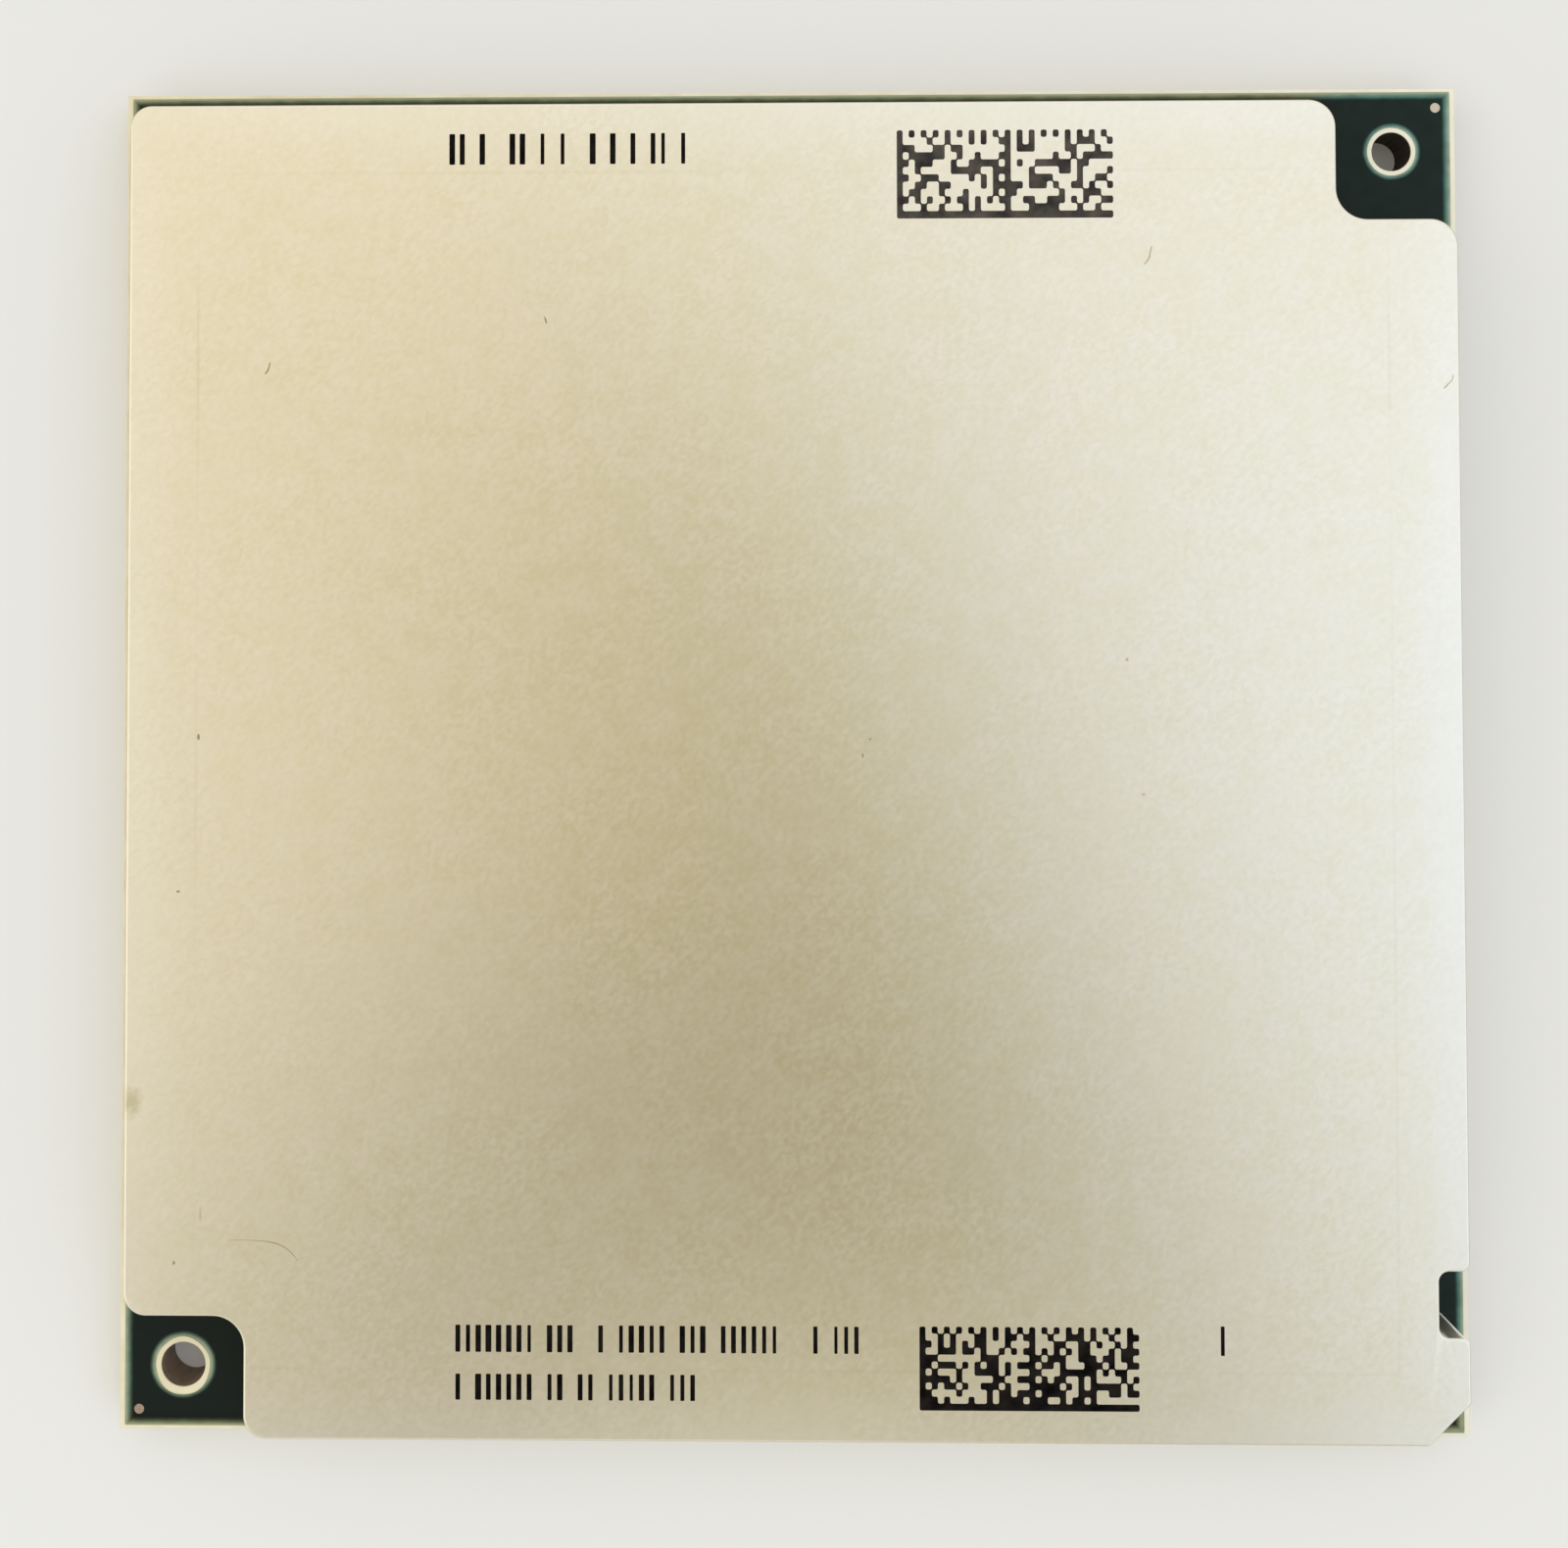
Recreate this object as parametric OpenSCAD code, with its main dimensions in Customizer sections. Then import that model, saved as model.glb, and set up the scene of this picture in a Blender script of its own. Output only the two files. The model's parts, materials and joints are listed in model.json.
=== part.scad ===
// Lidded server processor: a square organic substrate with contact lands below and a metal lid above.
// The land side rests on z = 0, the lid faces +Z, and the origin is under the middle of the substrate.

/* [Substrate] */
// Side of the square substrate
substrate_side = 68.5; // [64:0.5:80]
// Thickness of the laminate between its two coats of solder mask
laminate_t = 2.1; // [1.2:0.01:3]
// Thickness of each coat of solder mask
mask_t = 0.03; // [0.02:0.005:0.04]
// Bare laminate that the solder mask leaves along each edge
mask_setback = 0.27; // [0.1:0.01:0.6]

/* [Guide holes] */
// Distance of each guide hole's axis from the two nearest edges
guide_inset = 3.25; // [2.75:0.05:4]
// Diameter of the guide hole in the +X +Y corner
small_guide_d = 2; // [1.5:0.05:2.2]
// Diameter of the guide hole in the -X -Y corner
large_guide_d = 2.25; // [1.6:0.05:2.5]
// Bare laminate around the small guide hole
small_guide_ring = 0.24; // [0.1:0.01:0.5]
// Bare laminate around the large guide hole
large_guide_ring = 0.34; // [0.1:0.01:0.5]

/* [Fiducial marks] */
// Diameter of each bare metal dot
fiducial_d = 0.5; // [0.3:0.05:0.8]
// Distance of each dot's centre from the two nearest edges
fiducial_inset = 1; // [0.8:0.05:1.3]

/* [Contact lands] */
// Height of the lands, a little more than the solder mask beside them
land_t = 0.04; // [0.04:0.005:0.08]
// Distance of the field of lands from the substrate's edges
land_margin = 2.95; // [1.5:0.05:6]
// Distance of the lands from the axis of a guide hole
land_clear = 2.7; // [2:0.1:4]

/* [Lid] */
// Distance of the lid from the substrate's edges
lid_setback = 1.35; // [0.8:0.05:2.5]
// How far to +X the lid was set off the middle when it was bonded
lid_set_x = 0; // [-0.3:0.05:0.3]
// How far to +Y the lid was set off the middle when it was bonded
lid_set_y = -0.15; // [-0.3:0.05:0.3]
// Height of the lid from its foot to its top
lid_h = 3.15; // [2:0.05:5]
// Radius of the lid's whole corner
lid_corner_r = 1.05; // [0.6:0.05:2]
// Leg of the cut that marks the first land's corner
lid_chamfer = 2.05; // [1:0.05:3.5]

/* [Lid notches] */
// Distance of each notch's walls from the axis of its guide hole
notch_clear = 4.05; // [3:0.05:5.5]
// Radius in the inner corner of each notch
notch_inner_r = 1.55; // [0.6:0.05:2]
// Radius of the lid's corners beside the +X +Y notch
upper_mouth_r = 1.35; // [0.6:0.05:2]
// Radius of the lid's corners beside the -X -Y notch
lower_mouth_r = 1.1; // [0.6:0.05:2]

/* [Lid slot] */
// Length of the slot along the lid's +X edge
slot_l = 3.2; // [2.5:0.1:5]
// Depth of the slot
slot_depth = 1.5; // [1.2:0.1:2.4]
// Distance of the slot's middle from the lid's -Y edge
slot_from_corner = 6.8; // [5.5:0.05:12]
// Radius in the slot's inner corners
slot_inner_r = 0.5; // [0.2:0.05:0.6]
// Radius of the lid's corners beside the slot
slot_mouth_r = 0.45; // [0.2:0.05:0.6]

/* [Lid underside] */
// Width of the foot that carries the lid
foot_w = 3.75; // [3:0.05:5]
// Radius in the corners of the recess inside the foot
recess_r = 1.5; // [0.5:0.1:3]

/* [Lid seal] */
// Thickness of the adhesive band under the foot
seal_t = 0.15; // [0.08:0.01:0.3]
// Distance of the band from both edges of the foot
seal_setback = 0.4; // [0.2:0.05:0.55]
// Width of the vent gap in the band
vent_gap = 2; // [1:0.1:4]

/* [Die] */
// Width of the die, along X
die_w = 25; // [15:0.5:30]
// Length of the die, along Y
die_l = 27.5; // [15:0.5:32]
// Thickness of the die
die_t = 0.78; // [0.6:0.01:0.9]
// Height of the soldered gap under the die
bump_gap = 0.07; // [0.04:0.01:0.12]
// How far the underfill spreads past the die's sides
underfill_spread = 0.8; // [0.2:0.1:1.5]
// Thickness of the thermal interface between the die and the lid
interface_t = 0.15; // [0.05:0.01:0.4]
// Distance of the thermal interface's edge from the die's edge
interface_setback = 0.3; // [0.1:0.05:1]

/* [Capacitors] */
// Length of a chip capacitor over its terminals
cap_l = 1; // [0.6:0.1:1.2]
// Width of a chip capacitor
cap_w = 0.5; // [0.3:0.05:0.8]
// Height of a chip capacitor
cap_h = 0.5; // [0.3:0.05:0.6]
// Length of each terminal
terminal_l = 0.25; // [0.1:0.05:0.3]
// Spacing of the capacitors along the die's sides
cap_pitch = 2.2; // [1.2:0.1:4]
// Distance between the underfill and the row of capacitors
cap_clear = 1.6; // [1:0.1:3]

/* [Hidden] */
$fn = 96;

// How far cutting shapes reach past what they cut
lap = 0.5;
// Smallest radius left when an outline is drawn further in
least_r = 0.1;
// Share of an inset that a 45 degree cut's leg loses
chamfer_loss = 2 - sqrt(2);

// Heights of the stack, from the lands up
laminate_z = land_t;
top_mask_z = laminate_z + laminate_t;
board_z = top_mask_z + mask_t;
die_z = board_z + bump_gap;
interface_z = die_z + die_t;
ceiling_z = interface_z + interface_t;
foot_z = board_z + seal_t;

// Places that several pieces share
substrate_half = substrate_side / 2;
guide_at = substrate_half - guide_inset;
fiducial_at = substrate_half - fiducial_inset;
lid_half = substrate_half - lid_setback;
land_half = substrate_half - land_margin;
notch_at = guide_at - notch_clear;
underfill_w = die_w + 2 * underfill_spread;
underfill_l = die_l + 2 * underfill_spread;

// Puts a flat outline at the +X +Y corner and turns a copy of it into the -X -Y corner
module both_corners(at) {
    for (turn = [0, 180])
        rotate(turn)
            translate([at, at])
                children();
}

// The guide holes' outlines, each widened by its own ring
module guide_holes(small_ring, large_ring) {
    translate([guide_at, guide_at])
        circle(d = small_guide_d + 2 * small_ring);
    translate([-guide_at, -guide_at])
        circle(d = large_guide_d + 2 * large_ring);
}

// What a round corner leaves over: a square with its far quarter circle taken out
module corner_waste(r) {
    difference() {
        translate([-lap, -lap])
            square(r + lap);
        translate([r, r])
            circle(r);
    }
}

// A notch's outline from its inner corner out past both edges of the lid
module notch_waste(size, inner_r) {
    difference() {
        square(size + lap);
        corner_waste(inner_r);
    }
}

// The lid's square with its round corner and both notches, drawn in by inset on all sides.
// round_r is the least radius of the corners that stand out.
module notched_square(inset, round_r) {
    half = lid_half - inset;
    wall = notch_at - inset;
    upper_r = max(upper_mouth_r - inset, round_r);
    lower_r = max(lower_mouth_r - inset, round_r);
    difference() {
        square(2 * half, center = true);
        translate([-half, half])
            rotate(-90)
                corner_waste(max(lid_corner_r - inset, round_r));
        both_corners(wall)
            notch_waste(half - wall, notch_inner_r + inset);
        for (mouth = [[wall, half], [half, wall]]) {
            translate(mouth)
                rotate(180)
                    corner_waste(upper_r);
            translate(-mouth)
                corner_waste(lower_r);
        }
    }
}

// The slot's outline in the lid's +X edge, for a lid drawn in by inset
module slot_waste(inset) {
    half = lid_half - inset;
    side = slot_l / 2 + inset;
    inner_r = slot_inner_r + inset;
    mouth_r = max(slot_mouth_r - inset, least_r);
    translate([half, slot_from_corner - lid_half]) {
        difference() {
            translate([-slot_depth, -side])
                square([slot_depth + lap, 2 * side]);
            translate([-slot_depth, -side])
                corner_waste(inner_r);
            translate([-slot_depth, side])
                rotate(-90)
                    corner_waste(inner_r);
        }
        translate([0, side])
            rotate(90)
                corner_waste(mouth_r);
        translate([0, -side])
            rotate(180)
                corner_waste(mouth_r);
    }
}

// The lid's whole outline, drawn in by inset on all sides
module lid_plan(inset = 0) {
    half = lid_half - inset;
    leg = lid_chamfer - chamfer_loss * inset;
    difference() {
        notched_square(inset, least_r);
        slot_waste(inset);
        polygon([[half - leg - lap, -half - lap], [half + lap, -half + leg + lap], [half + lap, -half - lap]]);
    }
}

// The area inside both coats of solder mask
module mask_plan() {
    difference() {
        square(substrate_side - 2 * mask_setback, center = true);
        guide_holes(small_guide_ring, large_guide_ring);
    }
}

// The field of lands, clear of both guide holes
module land_plan() {
    clear_at = guide_at - land_clear;
    difference() {
        square(2 * land_half, center = true);
        both_corners(clear_at)
            square(land_half - clear_at + lap);
    }
}

// The two dots' outlines
module fiducial_plan() {
    both_corners(fiducial_at)
        circle(d = fiducial_d);
}

// Sets a capacitor's shape, made along X, at every place around the die
module at_capacitors() {
    row_x = underfill_w / 2 + cap_clear + cap_l / 2;
    row_y = underfill_l / 2 + cap_clear + cap_l / 2;
    count_y = floor(die_l / cap_pitch);
    count_x = floor(die_w / cap_pitch);
    for (side = [-1, 1]) {
        for (i = [0 : count_y - 1])
            translate([side * row_x, (i - (count_y - 1) / 2) * cap_pitch, board_z])
                children();
        for (i = [0 : count_x - 1])
            translate([(i - (count_x - 1) / 2) * cap_pitch, side * row_y, board_z])
                rotate(90)
                    children();
    }
}

module substrate_laminate() {
    color("#d9cfae")
        difference() {
            translate([-substrate_half, -substrate_half, laminate_z])
                cube([substrate_side, substrate_side, laminate_t]);
            translate([guide_at, guide_at, laminate_z - lap])
                cylinder(d = small_guide_d, h = laminate_t + 2 * lap);
            translate([-guide_at, -guide_at, laminate_z - lap])
                cylinder(d = large_guide_d, h = laminate_t + 2 * lap);
        }
}

module top_solder_mask() {
    color("#22302c")
        translate([0, 0, top_mask_z])
            linear_extrude(mask_t)
                difference() {
                    mask_plan();
                    fiducial_plan();
                }
}

module bottom_solder_mask() {
    color("#22302c")
        translate([0, 0, laminate_z - mask_t])
            linear_extrude(mask_t)
                difference() {
                    mask_plan();
                    land_plan();
                }
}

module fiducial_marks() {
    color("#c9a287")
        translate([0, 0, top_mask_z])
            linear_extrude(mask_t)
                fiducial_plan();
}

module land_field() {
    color("#c8a85a")
        linear_extrude(land_t)
            land_plan();
}

module die() {
    color("#4a4f57")
        translate([-die_w / 2, -die_l / 2, die_z])
            cube([die_w, die_l, die_t]);
}

module underfill() {
    color("#23262b")
        translate([-underfill_w / 2, -underfill_l / 2, board_z])
            cube([underfill_w, underfill_l, bump_gap]);
}

module thermal_interface() {
    pad_w = die_w - 2 * interface_setback;
    pad_l = die_l - 2 * interface_setback;
    color("#9a9da2")
        translate([-pad_w / 2, -pad_l / 2, interface_z])
            cube([pad_w, pad_l, interface_t]);
}

module capacitor_bodies() {
    body_l = cap_l - 2 * terminal_l;
    color("#8a6a4c")
        at_capacitors()
            translate([-body_l / 2, -cap_w / 2, 0])
                cube([body_l, cap_w, cap_h]);
}

module capacitor_terminals() {
    color("#c9ccd0")
        at_capacitors()
            for (end = [-1, 1])
                translate([end * (cap_l - terminal_l) / 2 - terminal_l / 2, -cap_w / 2, 0])
                    cube([terminal_l, cap_w, cap_h]);
}

module lid_seal() {
    vent_l = foot_w + 2 * lap;
    color("#3b3d40")
        translate([lid_set_x, lid_set_y, board_z])
            linear_extrude(seal_t)
                difference() {
                    lid_plan(seal_setback);
                    notched_square(foot_w - seal_setback, recess_r);
                    translate([-lid_half - lap, -vent_gap / 2])
                        square([vent_l, vent_gap]);
                }
}

module lid() {
    color("#d3cbb8")
        translate([lid_set_x, lid_set_y, foot_z])
            difference() {
                linear_extrude(lid_h)
                    lid_plan();
                translate([0, 0, -lap])
                    linear_extrude(ceiling_z - foot_z + lap)
                        notched_square(foot_w, recess_r);
            }
}

substrate_laminate();
top_solder_mask();
bottom_solder_mask();
fiducial_marks();
land_field();
die();
underfill();
thermal_interface();
capacitor_bodies();
capacitor_terminals();
lid_seal();
lid();
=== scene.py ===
import json
import math
import random

import bmesh
import bpy
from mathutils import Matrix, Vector

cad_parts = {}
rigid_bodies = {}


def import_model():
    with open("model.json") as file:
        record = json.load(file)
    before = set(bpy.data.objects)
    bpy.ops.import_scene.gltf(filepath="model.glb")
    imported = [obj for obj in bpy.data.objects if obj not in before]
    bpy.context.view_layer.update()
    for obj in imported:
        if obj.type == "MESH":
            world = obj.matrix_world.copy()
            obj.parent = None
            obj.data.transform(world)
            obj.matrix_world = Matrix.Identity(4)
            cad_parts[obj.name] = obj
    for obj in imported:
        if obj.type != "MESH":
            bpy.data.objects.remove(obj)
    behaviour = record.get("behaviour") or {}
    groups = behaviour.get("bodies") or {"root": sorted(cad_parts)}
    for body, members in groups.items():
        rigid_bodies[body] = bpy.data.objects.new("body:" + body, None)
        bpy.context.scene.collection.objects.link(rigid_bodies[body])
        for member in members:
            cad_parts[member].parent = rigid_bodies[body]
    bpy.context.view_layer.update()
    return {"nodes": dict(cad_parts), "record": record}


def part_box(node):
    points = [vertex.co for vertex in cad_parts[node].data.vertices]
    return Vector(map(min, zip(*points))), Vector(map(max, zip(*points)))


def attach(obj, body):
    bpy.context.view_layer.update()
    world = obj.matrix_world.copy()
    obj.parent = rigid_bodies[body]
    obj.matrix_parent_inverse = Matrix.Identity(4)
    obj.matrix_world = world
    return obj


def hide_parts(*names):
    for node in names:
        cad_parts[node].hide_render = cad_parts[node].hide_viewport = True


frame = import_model()

# Substrate laminate: a glass-filled core with thin resin layers built up on both of its faces.
# It is pressed as a sheet, drilled for the two guide pins and sawn to size,
# so the sawn edge shows the layers as fine lines.
mm = 0.001
laminate_low, laminate_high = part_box("substrate_laminate")
substrate_half = laminate_high.x
saw_break = 0.03 * mm
wide_rim = 0.1 * mm
drill_steps = 72
sharp_angle = math.radians(35)
mounts = {mount["name"]: mount for mount in frame["record"]["mounts"]}
guide_holes = []
for hole_name, bare_ring in (("small_guide_hole", 0.24 * mm), ("large_guide_hole", 0.34 * mm)):
    hole_x, hole_y, _ = mounts[hole_name]["pos_m"]
    guide_holes.append((hole_x, hole_y, mounts[hole_name]["dims"]["r_mm"] * mm, bare_ring))


def square_outline(half):
    """A square plate's outline, which inset draws in."""
    def points(inset):
        side = half - inset
        return [(-side, -side), (side, -side), (side, side), (-side, side)]
    return points


def round_outline(x, y, radius, steps):
    """A disc's outline, which inset draws in."""
    def points(inset):
        turns = [2 * math.pi * step / steps for step in range(steps)]
        reach = radius - inset
        return [(x + reach * math.cos(turn), y + reach * math.sin(turn)) for turn in turns]
    return points


def hole_outline(x, y, radius, steps):
    """A round hole's outline, run backwards so that its wall faces the hole; inset widens it."""
    disc = round_outline(x, y, radius, steps)
    return lambda inset: disc(-inset)[::-1]


def raise_wall(mesh, outline, profile):
    """Builds the wall along an outline through (inset, height) steps and returns its end rings."""
    rings = [[mesh.verts.new((x, y, z)) for x, y in outline(inset)] for inset, z in profile]
    for lower, upper in zip(rings, rings[1:]):
        for i in range(len(lower)):
            mesh.faces.new((lower[i - 1], lower[i], upper[i], upper[i - 1]))
    return rings[0], rings[-1]


def close_face(mesh, rings, facing):
    """Fills the flat face between an outline and the holes in it; facing is 1 for up, -1 for down."""
    edges = [mesh.edges.get((ring[i - 1], ring[i])) for ring in rings for i in range(len(ring))]
    filled = bmesh.ops.triangle_fill(mesh, use_beauty=True, edges=edges, normal=(0, 0, facing))
    for face in filled["geom"]:
        if isinstance(face, bmesh.types.BMFace):
            face.normal_update()
            if face.normal.z * facing < 0:
                face.normal_flip()


def make_plate(outlines, bottom, top, edge_break):
    """A flat plate with broken edges; the first outline is its rim and the others are holes."""
    mesh = bmesh.new()
    lower = [(edge_break, bottom), (0, bottom + edge_break)]
    profile = lower + [(0, top - edge_break), (edge_break, top)]
    ends = [raise_wall(mesh, outline, profile) for outline in outlines]
    close_face(mesh, [low for low, high in ends], -1)
    close_face(mesh, [high for low, high in ends], 1)
    return mesh


def add_piece(name, data, material, slot, *nodes):
    """Makes a piece that rides on the body and stands for the named solids."""
    piece = bpy.data.objects.new(name, data)
    bpy.context.scene.collection.objects.link(piece)
    data.materials.clear()
    data.materials.append(material)
    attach(piece, "root")
    if nodes:
        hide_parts(*nodes)
    return piece


def add_shell(name, mesh, material, slot, *nodes):
    """Makes a piece of a built mesh, smooth round its curves and flat on its flats."""
    data = bpy.data.meshes.new(name)
    mesh.to_mesh(data)
    mesh.free()
    data.shade_smooth()
    data.set_sharp_from_angle(angle=sharp_angle)
    piece = add_piece(name, data, material, slot, *nodes)
    weigh = piece.modifiers.new("flats", "WEIGHTED_NORMAL")
    weigh.keep_sharp = True
    return piece


def tint(red, green, blue):
    """A colour as read off a picture, 0 to 255, as the linear colour that a shader takes."""
    shares = [level / 255 for level in (red, green, blue)]
    return [s / 12.92 if s <= 0.04045 else ((s + 0.055) / 1.055) ** 2.4 for s in shares] + [1]


def new_finish(name):
    """A material with its shader, and the Object coordinates that its patterns follow."""
    material = bpy.data.materials.new(name)
    material.use_nodes = True
    tree = material.node_tree
    place = tree.nodes.new("ShaderNodeTexCoord").outputs["Object"]
    return material, tree, tree.nodes["Principled BSDF"], place


def knot(tree, kind, inputs, **settings):
    """Adds a node; an input is a number, a colour or another node's output."""
    made = tree.nodes.new(kind)
    for name, value in settings.items():
        setattr(made, name, value)
    for key, value in inputs.items():
        if isinstance(value, bpy.types.NodeSocket):
            tree.links.new(value, made.inputs[key])
        else:
            made.inputs[key].default_value = value
    return made.outputs[0]


def sums(tree, operation, first, second=0.0):
    """One step of arithmetic."""
    return knot(tree, "ShaderNodeMath", {0: first, 1: second}, operation=operation)


def spread(tree, value, low, high, to_low=0.0, to_high=1.0):
    """Takes a value from one range to another, with soft ends."""
    inputs = {"Value": value, 1: low, 2: high, 3: to_low, 4: to_high}
    return knot(tree, "ShaderNodeMapRange", inputs, interpolation_type="SMOOTHSTEP")


def ramp(tree, value, *stops):
    """Turns a value from 0 to 1 into a colour."""
    output = knot(tree, "ShaderNodeValToRGB", {"Fac": value})
    elements = output.node.color_ramp.elements
    while len(elements) < len(stops):
        elements.new(1)
    for element, (position, colour) in zip(elements, stops):
        element.position = position
        element.color = colour
    return output


def blend(tree, share, first, second, how="MIX"):
    """Mixes two colours."""
    inputs = {0: share, 6: first, 7: second}
    made = knot(tree, "ShaderNodeMix", inputs, data_type="RGBA", blend_type=how)
    return made.node.outputs[2]


def noise(tree, place, scale, detail=3.0, stretch=(1, 1, 1)):
    """Cloudy noise; scale is in features per metre, and stretch draws them out along an axis."""
    stretched = knot(tree, "ShaderNodeMapping", {"Vector": place, "Scale": stretch})
    return knot(tree, "ShaderNodeTexNoise", {"Vector": stretched, "Scale": scale, "Detail": detail})


def relief(tree, height, depth, under=None):
    """A bump of the given depth in metres."""
    inputs = {"Height": height, "Distance": depth, "Strength": 1.0}
    if under is not None:
        inputs["Normal"] = under
    return knot(tree, "ShaderNodeBump", inputs)


def from_edges(tree, place):
    """How far a point lies from the sawn edge and from the bare ring round a guide hole."""
    parts = knot(tree, "ShaderNodeSeparateXYZ", {0: place}).node.outputs
    sideways = sums(tree, "ADD", sums(tree, "ABSOLUTE", parts["X"]), wide_rim)
    reach = sums(tree, "MAXIMUM", sideways, sums(tree, "ABSOLUTE", parts["Y"]))
    flat = knot(tree, "ShaderNodeCombineXYZ", {"X": parts["X"], "Y": parts["Y"]})
    from_ring = None
    for x, y, radius, bare_ring in guide_holes:
        away = knot(tree, "ShaderNodeVectorMath", {0: flat, 1: (x, y, 0)}, operation="DISTANCE")
        gap = sums(tree, "SUBTRACT", away.node.outputs["Value"], radius + bare_ring)
        from_ring = gap if from_ring is None else sums(tree, "MINIMUM", from_ring, gap)
    return sums(tree, "SUBTRACT", substrate_half, reach), from_ring


def laminate_finish():
    """Cream resin with glass in it, layered near both faces, with painted shade on the drilled holes'
    walls.
    """
    material, tree, shader, place = new_finish("sawn laminate")
    layer_t = 0.07 * mm
    core_ends = (0.26, 0.28)
    rim_fade = (0.14 * mm, 0.2 * mm)
    ring_fade = (0.2 * mm, 0.3 * mm)
    hole_shade_fade = (0.5 * mm, 1.0 * mm)
    saw_depth = 0.012 * mm
    thickness = laminate_high.z - laminate_low.z
    height = knot(tree, "ShaderNodeSeparateXYZ", {0: place}).node.outputs["Z"]
    depth = sums(tree, "SUBTRACT", laminate_high.z, height)
    from_middle = sums(tree, "ABSOLUTE", sums(tree, "SUBTRACT", depth, thickness / 2))
    built_up = spread(tree, from_middle, *[share * thickness for share in core_ends])
    wave = sums(tree, "COSINE", sums(tree, "MULTIPLY", depth, 2 * math.pi / layer_t))
    line = sums(tree, "MULTIPLY", spread(tree, wave, -0.55, -0.95), built_up)
    glass = noise(tree, place, 2600, 4, (1, 1, 5))
    core = ramp(tree, glass, (0.3, tint(176, 162, 112)), (0.7, tint(206, 196, 152)))
    cloud = noise(tree, place, 700, 3)
    across = knot(tree, "ShaderNodeSeparateXYZ", {0: place}).node.outputs["X"]
    rightward = spread(tree, across, -substrate_half, substrate_half)
    warm = ramp(tree, cloud, (0.3, tint(222, 211, 178)), (0.7, tint(233, 226, 198)))
    white = ramp(tree, cloud, (0.3, tint(228, 224, 204)), (0.7, tint(238, 235, 218)))
    resin = blend(tree, rightward, warm, white)
    layers = blend(tree, built_up, core, resin)
    lined = blend(tree, line, layers, tint(150, 132, 88))
    from_side, from_ring = from_edges(tree, place)
    off_ring = spread(tree, from_ring, *ring_fade)
    inside = sums(tree, "MULTIPLY", spread(tree, from_side, *rim_fade), off_ring)
    tinged = blend(tree, inside, lined, tint(148, 155, 125))
    # Painted shade: the drilled holes' walls are painted dark, a lit brown in the left hole and near
    # black in the shaded right one.
    brown = ramp(tree, glass, (0.3, tint(112, 95, 80)), (0.7, tint(146, 127, 108)))
    black = ramp(tree, glass, (0.3, tint(34, 27, 22)), (0.7, tint(62, 51, 42)))
    facing = tree.nodes.new("ShaderNodeNewGeometry").outputs["Normal"]
    upward = knot(tree, "ShaderNodeSeparateXYZ", {0: facing}).node.outputs["Z"]
    wall = spread(tree, sums(tree, "ABSOLUTE", upward), 0.3, 0.7, 1.0, 0.0)
    painted_hole_shade_mask = sums(tree, "MULTIPLY", wall, spread(tree, from_side, *hole_shade_fade))
    painted_hole_shade = blend(tree, rightward, brown, black)
    tree.links.new(blend(tree, painted_hole_shade_mask, tinged, painted_hole_shade), shader.inputs["Base Color"])
    saw = noise(tree, place, 9000, 2, (1, 1, 0.08))
    tree.links.new(spread(tree, saw, 0.2, 0.8, 0.55, 0.8), shader.inputs["Roughness"])
    tree.links.new(relief(tree, saw, saw_depth), shader.inputs["Normal"])
    shader.inputs["Specular IOR Level"].default_value = 0.3
    return material


laminate_outlines = [square_outline(substrate_half)]
laminate_outlines += [hole_outline(x, y, radius, drill_steps) for x, y, radius, _ in guide_holes]
laminate = make_plate(laminate_outlines, laminate_low.z, laminate_high.z, saw_break)
add_shell("sawn_laminate", laminate, laminate_finish(), "laminate", "substrate_laminate")

# Solder mask: a thin coat of dark green lacquer, screened on both faces and cured.
# It stops short of the sawn edge and the guide holes, and looks dark over the copper planes
# but light green in the narrow band where the copper under it has been pulled back.
upper_low, upper_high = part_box("top_solder_mask")
lower_low, lower_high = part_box("bottom_solder_mask")
mask_half = upper_high.x
mask_break = 0.006 * mm
dot_low, dot_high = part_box("fiducial_marks")
dot_radius = 0.25 * mm
dot_at = dot_high.x - dot_radius
dot_steps = 40
dots = [(dot_at, dot_at), (-dot_at, -dot_at)]
worn_shift = (-0.02 * mm, -0.07 * mm)
worn_radius = 1.43 * mm
worn_stretch = 0.04 * mm
worn_wobble = 0.02 * mm


def worn_outline(x, y):
    """The opening round the large hole, run backwards: off centre, a little long and uneven."""
    def points(inset):
        found = []
        for step in range(drill_steps):
            turn = -2 * math.pi * step / drill_steps
            uneven = worn_wobble * math.sin(5 * turn) - worn_stretch * math.cos(2 * turn)
            reach = worn_radius + uneven + inset
            found.append((x + reach * math.cos(turn), y + reach * math.sin(turn)))
        return found
    return points


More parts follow.
